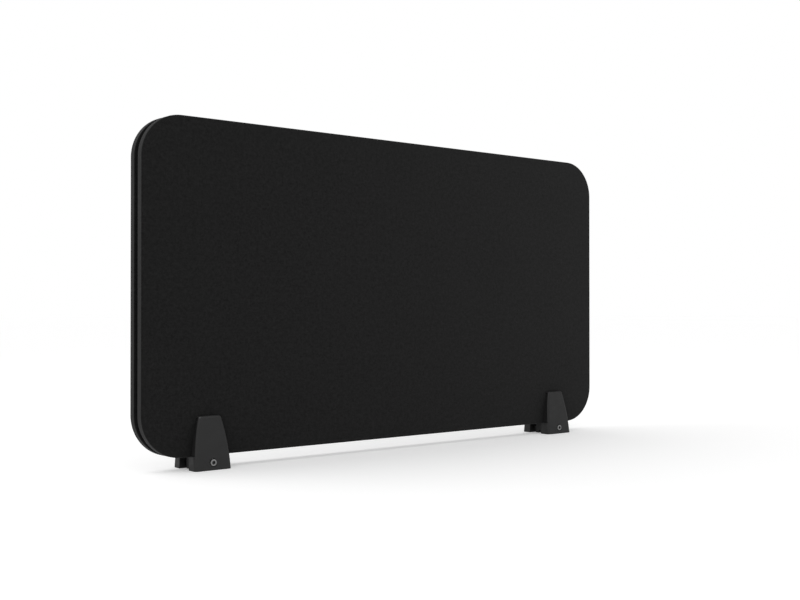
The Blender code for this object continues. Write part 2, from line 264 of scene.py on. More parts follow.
def black_fabric():
    """Tight plain-weave wool cloth: crossing yarns, slightly mixed in tone, soft fuzz over all."""
    made, tree, shader = new_material("black_fabric_woven", 0.92, specular=0.12)
    where = node(tree, "ShaderNodeAttribute", output="Vector", settings={"attribute_name": "cloth"})
    wander = node(tree, "ShaderNodeTexNoise", output="Color", Vector=where, Scale=180.0, Detail=2.0)
    wander = stretched(tree, wander, (YARN_WANDER, YARN_WANDER, 0.0))
    split = tree.nodes.new("ShaderNodeSeparateXYZ")
    plug(tree, split.inputs[0], vector_calc(tree, "ADD", where, wander))
    across, up, _ = split.outputs
    yarns = math.pi / YARN_PITCH
    warp = calc(tree, "SINE", calc(tree, "MULTIPLY", across, yarns))
    weft = calc(tree, "SINE", calc(tree, "MULTIPLY", up, yarns))
    crossing = calc(tree, "MULTIPLY", warp, weft)
    top_warp = calc(tree, "GREATER_THAN", crossing, 0.0)
    height = calc(tree, "POWER", calc(tree, "ABSOLUTE", crossing), 0.45)
    slub_across = noise(tree, stretched(tree, where, (SLUB_FINE, SLUB_LONG, 1.0)), 1.0, 3.0)
    slub_up = noise(tree, stretched(tree, where, (SLUB_LONG, SLUB_FINE, 1.0)), 1.0, 3.0)
    yarn = calc(tree, "ADD", calc(tree, "MULTIPLY", top_warp, slub_across),
                calc(tree, "MULTIPLY", calc(tree, "SUBTRACT", 1.0, top_warp), slub_up))
    fuzz = noise(tree, where, 2600.0, 4.0, 0.7)
    # yarn tops painted lighter and the gaps between yarns darker: painted shade in the weave
    tone = ramp(tree, height, 0.2, 1.0, -0.14, 0.14)
    for texture, share in ((yarn, 0.22), (fuzz, 0.12)):
        tone = calc(tree, "ADD", tone, spread(tree, texture, -share, share))
    for scale, detail, roughness, share in CLOTH_MOTTLE:
        mottle = noise(tree, where, scale, detail, roughness)
        tone = calc(tree, "ADD", tone, spread(tree, mottle, -share, share))
    factor = ramp(tree, tone, -0.6, 0.6, 0.0, 1.0)
    plug(tree, shader.inputs["Base Color"],
         mix_color(tree, factor, (0.0003, 0.0003, 0.0003), (0.0098, 0.0098, 0.0098)))
    plug(tree, shader.inputs["Roughness"], spread(tree, fuzz, 0.85, 0.98))
    shader.inputs["Sheen Weight"].default_value = 0.09
    shader.inputs["Sheen Roughness"].default_value = 0.6
    shader.inputs["Sheen Tint"].default_value = (1.0, 1.0, 1.0, 1.0)
    relief = calc(tree, "ADD", calc(tree, "MULTIPLY", height, 0.6), calc(tree, "MULTIPLY", fuzz, 0.5))
    soft = bump(tree, noise(tree, where, 420.0, 2.0), 0.25 * MM, 0.5)
    plug(tree, shader.inputs["Normal"], bump(tree, relief, 0.16 * MM, 0.7, soft))
    return made


def black_plastic():
    """Glass-filled nylon with a fine spark-eroded mould grain and faint handling marks."""
    made, tree, shader = new_material("black_nylon_moulded", 0.5, specular=0.3)
    where = object_place(tree)
    grain = noise(tree, where, 2300.0, 2.0, 0.5)
    pits = node(tree, "ShaderNodeTexVoronoi", Vector=where, Scale=1500.0)
    flow = noise(tree, stretched(tree, where, (20.0, 20.0, 55.0)), 1.0, 4.0, 0.6)
    rubbed = noise(tree, where, 70.0, 4.0, 0.62)
    factor = calc(tree, "ADD", spread(tree, flow, 0.3, 0.7), spread(tree, grain, -0.15, 0.15))
    plug(tree, shader.inputs["Base Color"],
         mix_color(tree, factor, (0.0106, 0.0106, 0.0107), (0.0152, 0.0152, 0.0154)))
    plug(tree, shader.inputs["Roughness"], ramp(tree, rubbed, 0.35, 0.7, 0.58, 0.46))
    relief = calc(tree, "ADD", grain, calc(tree, "MULTIPLY", pits, 0.8))
    plug(tree, shader.inputs["Normal"], bump(tree, relief, 0.06 * MM, 0.6))
    return made


def black_rubber():
    """Matt moulded rubber, slightly dusty, with a fine cast skin."""
    made, tree, shader = new_material("black_rubber_moulded", 0.85, specular=0.3)
    where = object_place(tree)
    skin = noise(tree, where, 1100.0, 4.0, 0.6)
    dust = noise(tree, where, 160.0, 5.0, 0.65)
    plug(tree, shader.inputs["Base Color"],
         mix_color(tree, ramp(tree, dust, 0.45, 0.75, 0.0, 1.0),
                   (0.0075, 0.0075, 0.0078), (0.015, 0.0148, 0.0145)))
    plug(tree, shader.inputs["Roughness"], spread(tree, dust, 0.72, 0.93))
    plug(tree, shader.inputs["Normal"], bump(tree, skin, 0.08 * MM, 0.6))
    return made


def zinc_steel():
    """Dulled zinc plate over turned steel: fine tool marks, cloudy in tone."""
    made, tree, shader = new_material("zinc_plated_steel", 0.34, metallic=1.0)
    where = object_place(tree)
    marks = noise(tree, stretched(tree, where, (900.0, 5200.0, 900.0)), 1.0, 3.0, 0.6)
    cloud = noise(tree, where, 260.0, 4.0, 0.6)
    plug(tree, shader.inputs["Base Color"],
         mix_color(tree, ramp(tree, cloud, 0.35, 0.65, 0.0, 1.0),
                   (0.225, 0.227, 0.232), (0.305, 0.303, 0.298)))
    plug(tree, shader.inputs["Roughness"], spread(tree, cloud, 0.28, 0.42))
    plug(tree, shader.inputs["Normal"], bump(tree, marks, 0.02 * MM, 0.5))
    return made


def painted_socket_shade():
    """Inside of the screw's socket: rough broached steel, coloured darker than the head as painted shade in
    the hollow.
    """
    made, tree, shader = new_material("socket_painted_shade", 0.7, metallic=0.6)
    where = object_place(tree)
    socket_shade_mottle = noise(tree, where, 900.0, 4.0, 0.6)
    plug(tree, shader.inputs["Base Color"],
         mix_color(tree, ramp(tree, socket_shade_mottle, 0.35, 0.65, 0.0, 1.0),
                   (0.070, 0.070, 0.071), (0.110, 0.110, 0.107)))
    plug(tree, shader.inputs["Roughness"], spread(tree, socket_shade_mottle, 0.6, 0.8))
    plug(tree, shader.inputs["Normal"], bump(tree, socket_shade_mottle, 0.02 * MM, 0.5))
    return made


def fibreboard():
    """Raw medium-density fibreboard: short fibres, paler at random, fuzzy where it was cut."""
    made, tree, shader = new_material("fibreboard_raw", 0.85, specular=0.25)
    where = object_place(tree)
    fibre = noise(tree, stretched(tree, where, (320.0, 900.0, 320.0)), 1.0, 5.0, 0.7)
    fleck = node(tree, "ShaderNodeTexVoronoi", Vector=where, Scale=650.0)
    factor = calc(tree, "ADD", spread(tree, fibre, 0.1, 0.9), ramp(tree, fleck, 0.0, 0.6, -0.2, 0.1))
    plug(tree, shader.inputs["Base Color"],
         mix_color(tree, factor, (0.19, 0.135, 0.085), (0.37, 0.285, 0.19)))
    plug(tree, shader.inputs["Normal"], bump(tree, fibre, 0.2 * MM, 0.5))
    return made


def black_core():
    """Through-dyed black board, its machined edge showing pressed layers and loose fibres."""
    made, tree, shader = new_material("black_core_edge", 0.8, specular=0.25)
    where = object_place(tree)
    layers = noise(tree, stretched(tree, where, (30.0, 1400.0, 30.0)), 1.0, 4.0, 0.6)
    fibre = noise(tree, where, 900.0, 4.0, 0.7)
    factor = calc(tree, "ADD", spread(tree, layers, 0.0, 0.7), spread(tree, fibre, 0.0, 0.3))
    plug(tree, shader.inputs["Base Color"],
         mix_color(tree, factor, (0.005, 0.005, 0.005), (0.014, 0.0138, 0.0135)))
    plug(tree, shader.inputs["Roughness"], spread(tree, fibre, 0.74, 0.9))
    plug(tree, shader.inputs["Normal"],
         bump(tree, calc(tree, "ADD", layers, calc(tree, "MULTIPLY", fibre, 0.6)), 0.15 * MM, 0.6))
    return made


def beech():
    """Turned beech dowel: pale straight grain along Y with short darker rays."""
    made, tree, shader = new_material("beech_dowel", 0.58, specular=0.35)
    where = object_place(tree)
    grain = noise(tree, stretched(tree, where, (1400.0, 55.0, 1400.0)), 1.0, 4.0, 0.6)
    rays = noise(tree, stretched(tree, where, (2600.0, 420.0, 900.0)), 1.0, 2.0, 0.5)
    wood = mix_color(tree, spread(tree, grain, 0.0, 1.0), (0.41, 0.255, 0.125), (0.62, 0.44, 0.25))
    plug(tree, shader.inputs["Base Color"],
         mix_color(tree, ramp(tree, rays, 0.62, 0.72, 0.0, 0.45), wood, (0.27, 0.145, 0.065)))
    plug(tree, shader.inputs["Normal"], bump(tree, grain, 0.08 * MM, 0.5))
    return made


MATERIALS = {
    "black_fabric": black_fabric(),
    "black_nylon": black_plastic(),
    "black_rubber": black_rubber(),
    "zinc_steel": zinc_steel(),
    "fibreboard": fibreboard(),
    "black_core": black_core(),
    "beech": beech(),
}
SOCKET_PAINTED_SHADE = painted_socket_shade()


# ---------------------------------------------------------------- making pieces

def face_out(bm):
    bm.normal_update()
    bmesh.ops.recalc_face_normals(bm, faces=bm.faces)


def loft(bm, rings):
    """Bridge rings of equal length in order and fill both ends. Returns the rows of vertices."""
    rows = [[bm.verts.new(point) for point in ring] for ring in rings]
    bm.faces.new(rows[0])
    bm.faces.new(rows[-1])
    for row, following in zip(rows, rows[1:]):
        for i, vert in enumerate(row):
            j = (i + 1) % len(row)
            bm.faces.new((vert, row[j], following[j], following[i]))
    face_out(bm)
    return rows


def add_box(bm, low, high):
    size = [b - a for a, b in zip(low, high)]
    centre = [(a + b) / 2 for a, b in zip(low, high)]
    bmesh.ops.create_cube(bm, size=1.0, matrix=Matrix.Translation(centre) @ Matrix.Diagonal((*size, 1.0)))


def add_rod(bm, radius, y_start, y_end, x, z, segments=96):
    spin = math.pi / segments if segments > 6 else 0.0
    turn = Matrix.Rotation(math.radians(90), 4, "X") @ Matrix.Rotation(spin, 4, "Z")
    place = Matrix.Translation((x, (y_start + y_end) / 2, z))
    bmesh.ops.create_cone(bm, cap_ends=True, segments=segments, radius1=radius, radius2=radius,
                          depth=y_end - y_start, matrix=place @ turn)


def make_object(name, bm):
    mesh = bpy.data.meshes.new(name)
    bm.to_mesh(mesh)
    bm.free()
    made = bpy.data.objects.new(name, mesh)
    bpy.context.scene.collection.objects.link(made)
    return made


def carve(target, bm, operation="DIFFERENCE"):
    """Cut the shape in bm out of target, or join it on, at once."""
    face_out(bm)
    tool = make_object("tool", bm)
    modifier = target.modifiers.new("carve", "BOOLEAN")
    modifier.operation = operation
    modifier.object = tool
    modifier.solver = "EXACT"
    apply_modifiers(target)
    bpy.data.objects.remove(tool)


def apply_modifiers(target):
    graph = bpy.context.evaluated_depsgraph_get()
    mesh = bpy.data.meshes.new_from_object(target.evaluated_get(graph))
    target.modifiers.clear()
    target.data = mesh


def soften(target, width, segments=3, angle=32):
    """Round every edge sharper than angle, and shade the piece smoothly."""
    bm = bmesh.new()
    bm.from_mesh(target.data)
    bmesh.ops.remove_doubles(bm, verts=bm.verts, dist=0.002 * MM)
    bmesh.ops.dissolve_limit(bm, angle_limit=math.radians(0.4), verts=bm.verts, edges=bm.edges)
    bm.to_mesh(target.data)
    bm.free()
    modifier = target.modifiers.new("soften", "BEVEL")
    modifier.width = width
    modifier.segments = segments
    modifier.limit_method = "ANGLE"
    modifier.angle_limit = math.radians(angle)
    modifier.miter_outer = "MITER_ARC"
    apply_modifiers(target)
    shade(target)


def shade(target, angle=35):
    target.data.shade_smooth()
    target.data.set_sharp_from_angle(angle=math.radians(angle))
    modifier = target.modifiers.new("even_shading", "WEIGHTED_NORMAL")
    modifier.keep_sharp = True
    apply_modifiers(target)


def finish_piece(piece, body, slot, replaced):
    piece.data.materials.clear()
    piece.data.materials.append(MATERIALS[slot])
    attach(piece, body)
    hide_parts(replaced)


# ---------------------------------------------------------------- panel

def outline(inset):
    """Points round the panel, pulled in by inset.

    Each is x, z, the outward direction's x and z, and how far it is through its corner, 0 on a straight side.
    """
    radius = CORNER_RADIUS - inset
    low_x, high_x = PANEL_LEFT + CORNER_RADIUS, PANEL_RIGHT - CORNER_RADIUS
    low_z, high_z = PANEL_BOTTOM + CORNER_RADIUS, PANEL_TOP - CORNER_RADIUS
    centres = ((high_x, high_z), (low_x, high_z), (low_x, low_z), (high_x, low_z))
    points = []
    for corner, (x, z) in enumerate(centres):
        for step in range(CORNER_STEPS + 1):
            angle = math.radians(90 * (corner + step / CORNER_STEPS))
            out_x, out_z = math.cos(angle), math.sin(angle)
            points.append((x + radius * out_x, z + radius * out_z, out_x, out_z, step / CORNER_STEPS))
        next_x, next_z = centres[(corner + 1) % 4]
        length = math.hypot(next_x - x, next_z - z)
        count = round(length / STRAIGHT_STEP)
        for step in range(1, count):
            share = step / count
            points.append((x + (next_x - x) * share + radius * out_x,
                           z + (next_z - z) * share + radius * out_z, out_x, out_z, 0.0))
    return points


def arc(start_inset, start_depth, radius, first, last, steps):
    """Inset and depth pairs round part of a circle about start, angles from the face towards the edge."""
    angles = (math.radians(first + (last - first) * step / steps) for step in range(steps + 1))
    return [(start_inset - radius * math.sin(angle), start_depth - radius * math.cos(angle))
            for angle in angles]


def cloth_profile():
    """The cloth's section as insets and depths: outside from the face to the turned-in edge, then inside."""
    rim = CLOTH_ROUND + FACE_MARGIN
    outer = [(rim, 0.0)] + arc(CLOTH_ROUND, CLOTH_ROUND, CLOTH_ROUND, 0, 90, 8)
    band = LEAF - CLOTH_ROUND - BACK_ROUND
    outer += [(0.0, CLOTH_ROUND + band * i / 5) for i in range(1, 5)]
    outer += arc(BACK_ROUND, LEAF - BACK_ROUND, BACK_ROUND, 90, 180, 6)
    outer += [(BACK_ROUND + (CLOTH_RETURN - BACK_ROUND) * i / 6, LEAF) for i in range(1, 7)]
    inner = [(CLOTH_RETURN, LEAF - CLOTH), (BACK_ROUND, LEAF - CLOTH)]
    inner += arc(BACK_ROUND, LEAF - BACK_ROUND, BACK_ROUND - CLOTH, 150, 90, 2)
    inner += arc(CLOTH_ROUND, CLOTH_ROUND, CLOTH_ROUND - CLOTH, 90, 0, 4)
    inner += [(rim, CLOTH)]
    return outer, inner


def gather(corner_share, along):
    """How far the eased cloth stands out at a corner; along is 0 at the face and 1 at the turned-in edge."""
    if not 0.0 < corner_share < 1.0:
        return 0.0
    ease = math.sin(math.pi * corner_share) ** 0.5 * max(0.0, along - 0.25) / 0.75
    wave = 0.5 + 0.5 * math.cos(2 * math.pi * GATHERS * corner_share + 1.7 * math.sin(9.0 * corner_share))
    return GATHER_DEPTH * ease * wave


def make_wrap(name, outer_y, inward, node_name):
    """One leaf's fabric. Each point keeps its place on the flat cloth, which the weave is drawn by."""
    outer, inner = cloth_profile()
    path = [0.0]
    for (a, b), (c, d) in zip(outer, outer[1:]):
        path.append(path[-1] + math.hypot(c - a, d - b))
    start = outline(outer[0][0])
    rings, flats = [], []
    for i, (inset, depth) in enumerate(outer + inner):
        outside = i < len(outer)
        run = path[i] if outside else path[-1] * min(1.0, (len(outer + inner) - 1 - i) / len(inner))
        ring, flat = [], []
        for (x, z, out_x, out_z, share), (x0, z0, *_) in zip(outline(inset), start):
            out = gather(share, run / path[-1]) if outside else 0.0
            turned_in = depth >= LEAF - BACK_ROUND / 2
            shift = 0.0 if turned_in else out
            ring.append((x + out_x * shift, outer_y + inward * (depth + (out * 0.6 if turned_in else 0.0)),
                         z + out_z * shift))
            flat.append((x0 + out_x * run, z0 + out_z * run, 0.0))
        rings.append(ring)
        flats.append(flat)
    bm = bmesh.new()
    layer = bm.verts.layers.float_vector.new("cloth")
    for row, flat in zip(loft(bm, rings), flats):
        for vert, place in zip(row, flat):
            vert[layer] = Vector(place)
    wrap = make_object(name, bm)
    shade(wrap, 50)
    finish_piece(wrap, "panel", "black_fabric", node_name)


# ---------------------------------------------------------------- clamp feet

def jaw_half_width(height):
    return JAW_HALF_WIDTH - JAW_SIDE_RADIUS + math.sqrt(JAW_SIDE_RADIUS ** 2 - height ** 2)


def jaw_reach(height, reach):
    return reach + (TOP_REACH - reach) * height / JAW_HEIGHT


def jaw_section(height, reach, back, inset=0.0):
    """One level section of a jaw: x from its middle, y outwards from the panel's face."""
    steps = 12
    half = jaw_half_width(height) - inset
    outer = jaw_reach(height, reach) - inset
    edge = JAW_EDGE - inset
    points = [(half, back, height)]
    for sign, first in ((1, 0), (-1, 90)):
        for step in range(steps + 1):
            angle = math.radians(first + 90 * step / steps)
            points.append((sign * (half - edge) + edge * math.cos(angle),
                           outer - edge + edge * math.sin(angle), height))
    points.append((-half, back, height))
    return points


def jaw_rings(reach, back):
    """Sections up a jaw, its lower and upper rims rounded."""
    rings = []
    for step in range(4):
        angle = math.radians(90 * step / 4)
        rings.append(jaw_section(SOLE + JAW_BOTTOM_ROUND * (1 - math.cos(angle)), reach, back,
                                 JAW_BOTTOM_ROUND * (1 - math.sin(angle))))
    low, high = SOLE + JAW_BOTTOM_ROUND, JAW_HEIGHT - JAW_TOP_ROUND
    rings += [jaw_section(low + (high - low) * i / 24, reach, back) for i in range(25)]
    for step in range(1, 8):
        angle = math.radians(90 * step / 8)
        rings.append(jaw_section(high + JAW_TOP_ROUND * math.sin(angle), reach, back,
                                 JAW_TOP_ROUND * (1 - math.cos(angle))))
    top = jaw_section(high, reach, back, JAW_TOP_ROUND)
    rings.append([(x, y, JAW_HEIGHT) for x, y, _ in top])
    return rings


def placed(bm, centre_x, face_y, outward):
    """Move shapes made about a jaw's middle, y outwards from the panel's face, to the foot."""
    for vert in bm.verts:
        vert.co.x += centre_x
        vert.co.y = face_y + outward * vert.co.y
    return bm


def rounded_plate(bm, half_x, y_low, y_high, levels, radius):
    """A plate with rounded corners, seen from above. levels are pairs of height and inset."""
    steps = 10
    rings = []
    for z, inset in levels:
        ring = []
        corners = ((half_x, y_high), (-half_x, y_high), (-half_x, y_low), (half_x, y_low))
        for corner, (x, y) in enumerate(corners):
            centre_x = x - math.copysign(radius, x)
            centre_y = y + (radius if y == y_low else -radius)
            for step in range(steps + 1):
                angle = math.radians(90 * (corner + step / steps))
                ring.append((centre_x + (radius - inset) * math.cos(angle),
                             centre_y + (radius - inset) * math.sin(angle), z))
        rings.append(ring)
    loft(bm, rings)


def foot_pad_span(reach, ledge):
    """Where a foot pad starts and ends, y outwards from the panel's face."""
    return FOOT_PAD_INNER_MARGIN - ledge, reach - FOOT_PAD_OUTER_MARGIN


def make_jaw(name, centre_x, face_y, outward, reach, ledge):
    """A cheek on its block, cut out for the panel's edge, the grip pad and the foot pad."""
    bm = bmesh.new()
    loft(bm, jaw_rings(reach, -ledge))
    placed(bm, centre_x, face_y, outward)
    face_out(bm)
    jaw = make_object(name, bm)
    wide = 2 * JAW_HALF_WIDTH
    bm = bmesh.new()
    add_box(bm, (-wide, -2 * ledge, JAW_SEAT), (wide, GAP, 2 * JAW_HEIGHT))
    carve(jaw, placed(bm, centre_x, face_y, outward))
    bm = bmesh.new()
    recess = []
    for level in (JAW_SEAT + RECESS_RISE, JAW_HEIGHT - TOP_LIP):
        depth = jaw_reach(level, reach) - JAW_WALL
        recess.append([(-wide, -MM, level), (wide, -MM, level), (wide, depth, level), (-wide, depth, level)])
    loft(bm, recess)
    carve(jaw, placed(bm, centre_x, face_y, outward))
    pad_low, pad_high = foot_pad_span(reach, ledge)
    bm = bmesh.new()
    rounded_plate(bm, FOOT_PAD_HALF_WIDTH + GAP, pad_low - GAP, pad_high + GAP,
                  ((-MM, 0.0), (FOOT_PAD_THICK + GAP, 0.0)), FOOT_PAD_ROUND)
    carve(jaw, placed(bm, centre_x, face_y, outward))
    return jaw


def make_front_jaw(side, centre_x):
    jaw = make_jaw(f"{side}_front_jaw_moulding", centre_x, FRONT_Y, -1, FRONT_REACH, FRONT_LEDGE)
    start, end, height = TONGUE_NOTCH
    bm = bmesh.new()
    add_box(bm, (centre_x - TONGUE_HALF_WIDTH, FRONT_Y + FRONT_LEDGE - MM, TONGUE_SOLE),
            (centre_x + TONGUE_HALF_WIDTH, FRONT_Y + TONGUE_END, JAW_SEAT))
    carve(jaw, bm, "UNION")
    for sign in (-1, 1):
        bm = bmesh.new()
        near, far = sorted((centre_x + sign * GUIDE_X[0], centre_x + sign * GUIDE_X[1]))
        add_box(bm, (near, FRONT_Y + TONGUE_END - 2 * MM, GUIDE_Z[0]),
                (far, FRONT_Y + GUIDE_END, GUIDE_Z[1]))
        carve(jaw, bm, "UNION")
    bm = bmesh.new()
    add_box(bm, (centre_x - JAW_HALF_WIDTH, FRONT_Y + start, -MM),
            (centre_x + JAW_HALF_WIDTH, FRONT_Y + end, height))
    carve(jaw, bm)
    bm = bmesh.new()
    add_rod(bm, CLEARANCE_HOLE, FRONT_Y - 2 * FRONT_REACH, FRONT_Y + TONGUE_END + 5 * MM, centre_x,
            BOLT_HEIGHT)
    carve(jaw, bm)
    bm = bmesh.new()
    seat = FRONT_Y - HEAD_FACE + HEAD_LENGTH + WASHER_THICK + 2 * GAP
    add_rod(bm, COUNTERBORE, FRONT_Y - 2 * FRONT_REACH, seat, centre_x, BOLT_HEIGHT)
    carve(jaw, bm)
    soften(jaw, EDGE_ROUND)
    finish_piece(jaw, f"{side}_front_clamp", "black_nylon", f"{side}_front_jaw")


def make_rear_jaw(side, centre_x):
    jaw = make_jaw(f"{side}_rear_jaw_moulding", centre_x, REAR_Y, 1, REAR_REACH, REAR_LEDGE)
    for sign in (-1, 1):
        bm = bmesh.new()
        near, far = sorted((centre_x + sign * (GUIDE_X[0] - GUIDE_SLACK),
                            centre_x + sign * (GUIDE_X[1] + GUIDE_SLACK)))
        add_box(bm, (near, FRONT_Y + TONGUE_END, GUIDE_Z[0] - GUIDE_SLACK),
                (far, FRONT_Y + GUIDE_POCKET_END, GUIDE_Z[1] + GUIDE_SLACK))
        carve(jaw, bm)
    bm = bmesh.new()
    add_rod(bm, CLEARANCE_HOLE, FRONT_Y + TONGUE_END, REAR_Y + 2 * REAR_REACH, centre_x, BOLT_HEIGHT)
    carve(jaw, bm)
    bm = bmesh.new()
    add_rod(bm, NUT_POCKET_FLATS / math.sqrt(3), FRONT_Y + NUT_FACE - GAP, REAR_Y + 2 * REAR_REACH, centre_x,
            BOLT_HEIGHT, segments=6)
    carve(jaw, bm)
    soften(jaw, EDGE_ROUND)
    finish_piece(jaw, f"{side}_rear_clamp", "black_nylon", f"{side}_rear_jaw")


def make_grip_pad(side, end, centre_x, face_y, outward, reach):
    """Rubber wedge under a cheek, its exposed side edges softened and faintly ribbed."""
    bm = bmesh.new()
    rings = []
    low, high = JAW_SEAT + RECESS_RISE + GAP, JAW_HEIGHT - TOP_LIP - GAP
    count = 4 * GRIP_RIBS
    for i in range(count + 1):
        level = low + (high - low) * i / count
        rib = GRIP_RIB_DEPTH * (0.5 + 0.5 * math.cos(2 * math.pi * GRIP_RIBS * i / count))
        half = jaw_half_width(level) - PAD_INSET - rib
        depth = jaw_reach(level, reach) - JAW_WALL - GAP
        rings.append([(-half, GAP, level), (half, GAP, level), (half, depth, level), (-half, depth, level)])
    loft(bm, rings)
    placed(bm, centre_x, face_y, outward)
    face_out(bm)
    pad = make_object(f"{side}_{end}_grip_wedge", bm)
    soften(pad, 0.3 * MM, 2, 50)
    finish_piece(pad, f"{side}_{end}_clamp", "black_rubber", f"{side}_{end}_grip_pad")


def make_foot_pad(side, end, centre_x, face_y, outward, reach, ledge):
    """Rubber sole with a chamfered rim and shallow cross grooves underneath."""
    low, high = foot_pad_span(reach, ledge)
    bm = bmesh.new()
    rounded_plate(bm, FOOT_PAD_HALF_WIDTH, low, high,
                  ((0.0, 0.5 * MM), (0.15 * MM, 0.15 * MM), (0.5 * MM, 0.0), (FOOT_PAD_THICK, 0.0)),
                  FOOT_PAD_ROUND)
    placed(bm, centre_x, face_y, outward)
    face_out(bm)
    pad = make_object(f"{side}_{end}_foot_sole", bm)
    grooves = bmesh.new()
    for i in range(-5, 6):
        x = centre_x + i * FOOT_PAD_PITCH
        add_box(grooves, (x - FOOT_PAD_GROOVE / 2, FRONT_Y - 0.1, -MM),
                (x + FOOT_PAD_GROOVE / 2, 0.1, FOOT_PAD_GROOVE_DEPTH))
    carve(pad, grooves)
    shade(pad)
    finish_piece(pad, f"{side}_{end}_clamp", "black_rubber", f"{side}_{end}_foot_pad")


# ---------------------------------------------------------------- turned and hexagon parts

def hexagon(flats, angle):
    """Distance from the axis to a hexagon's side; two flats are level."""
    turn = (angle + math.pi / 6) % (math.pi / 3) - math.pi / 6
    return flats / 2 / math.cos(turn - math.pi / 6 if turn > 0 else turn + math.pi / 6)


def turned(name, centre_x, y_start, stations, segments, closed_ends=True):
    """A body round the bolt's axis. stations are pairs of y and a radius, or a function of the angle."""
    bm = bmesh.new()
    rows = []
    for y, radius in stations:
        row = []
        for i in range(segments):
            angle = 2 * math.pi * i / segments
            r = radius(angle) if callable(radius) else radius
            row.append(bm.verts.new((centre_x + r * math.cos(angle), y_start + y,
                                     BOLT_HEIGHT + r * math.sin(angle))))
        rows.append(row)
    pairs = list(zip(rows, rows[1:]))
    if closed_ends:
        bm.faces.new(rows[0])
        bm.faces.new(rows[-1])
    else:
        pairs.append((rows[-1], rows[0]))
    for row, following in pairs:
        for i in range(segments):
            j = (i + 1) % segments
            bm.faces.new((row[i], row[j], following[j], following[i]))
    face_out(bm)
    return make_object(name, bm)


def thread_radius(y, run_in):
    """Radius of a right-hand thread at y, as a function of the angle. run_in is 1 where it has full depth."""
    def radius(angle):
        phase = (y / THREAD_PITCH - angle / (2 * math.pi)) % 1.0
        flank = min(1.0, max(0.0, 1.3 - abs(phase - 0.5) * 3.2))
        return SHANK_RADIUS - run_in * THREAD_DEPTH * flank
    return radius


def make_bolt(side, centre_x):
    """Socket cap screw: knurled head with a hexagon socket, plain shank, then a real helical thread."""
    def socket(scale=1.0):
        return lambda angle: hexagon(SOCKET_FLATS, angle) * scale

    def knurl(angle):
        return HEAD_RADIUS - KNURL_DEPTH * (0.5 + 0.5 * math.cos(KNURLS * angle))

    stations = [
        (SOCKET_DEPTH + 0.9 * MM, 0.05 * MM),
        (SOCKET_DEPTH, socket(0.86)),
        (SOCKET_DEPTH - 0.15 * MM, socket(0.99)),
        (0.55 * MM, socket()),
        (0.12 * MM, lambda angle: max(hexagon(SOCKET_FLATS, angle), SOCKET_BEVEL)),
        (0.0, SOCKET_MOUTH),
        (0.0, HEAD_RADIUS - HEAD_CHAMFER - 0.12 * MM),
        (0.06 * MM, HEAD_RADIUS - HEAD_CHAMFER),
        (HEAD_CHAMFER, HEAD_RADIUS - 0.14 * MM),
        (HEAD_CHAMFER + 0.45 * MM, knurl),
        (HEAD_LENGTH - 0.9 * MM, knurl),
        (HEAD_LENGTH - 0.3 * MM, HEAD_RADIUS - 0.1 * MM),
        (HEAD_LENGTH, HEAD_RADIUS - 0.3 * MM),
        (HEAD_LENGTH, SHANK_RADIUS + 0.35 * MM),
        (HEAD_LENGTH + 0.4 * MM, SHANK_RADIUS),
    ]
    end = HEAD_LENGTH + SHANK_LENGTH
    thread_start = end - THREAD_LENGTH
    rows_per_turn = 8
    count = round((THREAD_LENGTH - MM) / THREAD_PITCH * rows_per_turn)
    for i in range(count + 1):
        y = thread_start + i * THREAD_PITCH / rows_per_turn
        stations.append((y, thread_radius(y, min(1.0, i / rows_per_turn))))
    stations += [(end - 0.7 * MM, SHANK_RADIUS - THREAD_DEPTH), (end, SHANK_RADIUS - MM)]
    bolt = turned(f"{side}_socket_screw", centre_x, FRONT_Y - HEAD_FACE, stations, 4 * KNURLS)
    shade(bolt, 40)
    finish_piece(bolt, f"{side}_bolt", "zinc_steel", f"{side}_clamp_bolt")
    # the socket's inner faces take the painted shade material, darker than the zinc head
    bolt.data.materials.append(SOCKET_PAINTED_SHADE)
    for face in bolt.data.polygons:
        off_axis = math.hypot(face.center.x - centre_x, face.center.z - BOLT_HEIGHT)
        depth = face.center.y - (FRONT_Y - HEAD_FACE)
        if off_axis < SOCKET_PAINTED_SHADE_END and 0.05 * MM < depth < HEAD_LENGTH:
            face.material_index = 1


def make_washer(side, centre_x):
    edge = 0.25 * MM
    stations = [
        (0.0, WASHER_HOLE), (0.0, WASHER_RADIUS - edge), (edge, WASHER_RADIUS),
        (WASHER_THICK - edge, WASHER_RADIUS), (WASHER_THICK, WASHER_RADIUS - edge),
        (WASHER_THICK, WASHER_HOLE),
    ]
    start = FRONT_Y - HEAD_FACE + HEAD_LENGTH + GAP
    washer = turned(f"{side}_flat_washer", centre_x, start, stations, 96, closed_ends=False)
    shade(washer)
    finish_piece(washer, f"{side}_front_clamp", "zinc_steel", f"{side}_bolt_washer")


def make_nut(side, centre_x):
    """Hexagon nut with the curved chamfers a round cone leaves on its corners."""
    chamfer_start = NUT_FLATS / 2 * 0.97

    def section(from_face):
        limit = chamfer_start + from_face * math.tan(math.radians(60))
        return lambda angle: min(hexagon(NUT_FLATS, angle), limit)

    depths = (0.0, 0.15 * MM, 0.35 * MM, 0.6 * MM, 0.9 * MM)
    stations = [(0.45 * MM, NUT_HOLE), (0.0, NUT_HOLE + 0.4 * MM)]
    stations += [(depth, section(depth)) for depth in depths]
    stations += [(NUT_THICK - depth, section(depth)) for depth in reversed(depths)]
    stations += [(NUT_THICK, NUT_HOLE + 0.4 * MM), (NUT_THICK - 0.45 * MM, NUT_HOLE)]
    nut = turned(f"{side}_hexagon_nut", centre_x, FRONT_Y + NUT_FACE, stations, 144, closed_ends=False)
    shade(nut, 28)
    finish_piece(nut, f"{side}_rear_clamp", "zinc_steel", f"{side}_clamp_nut")


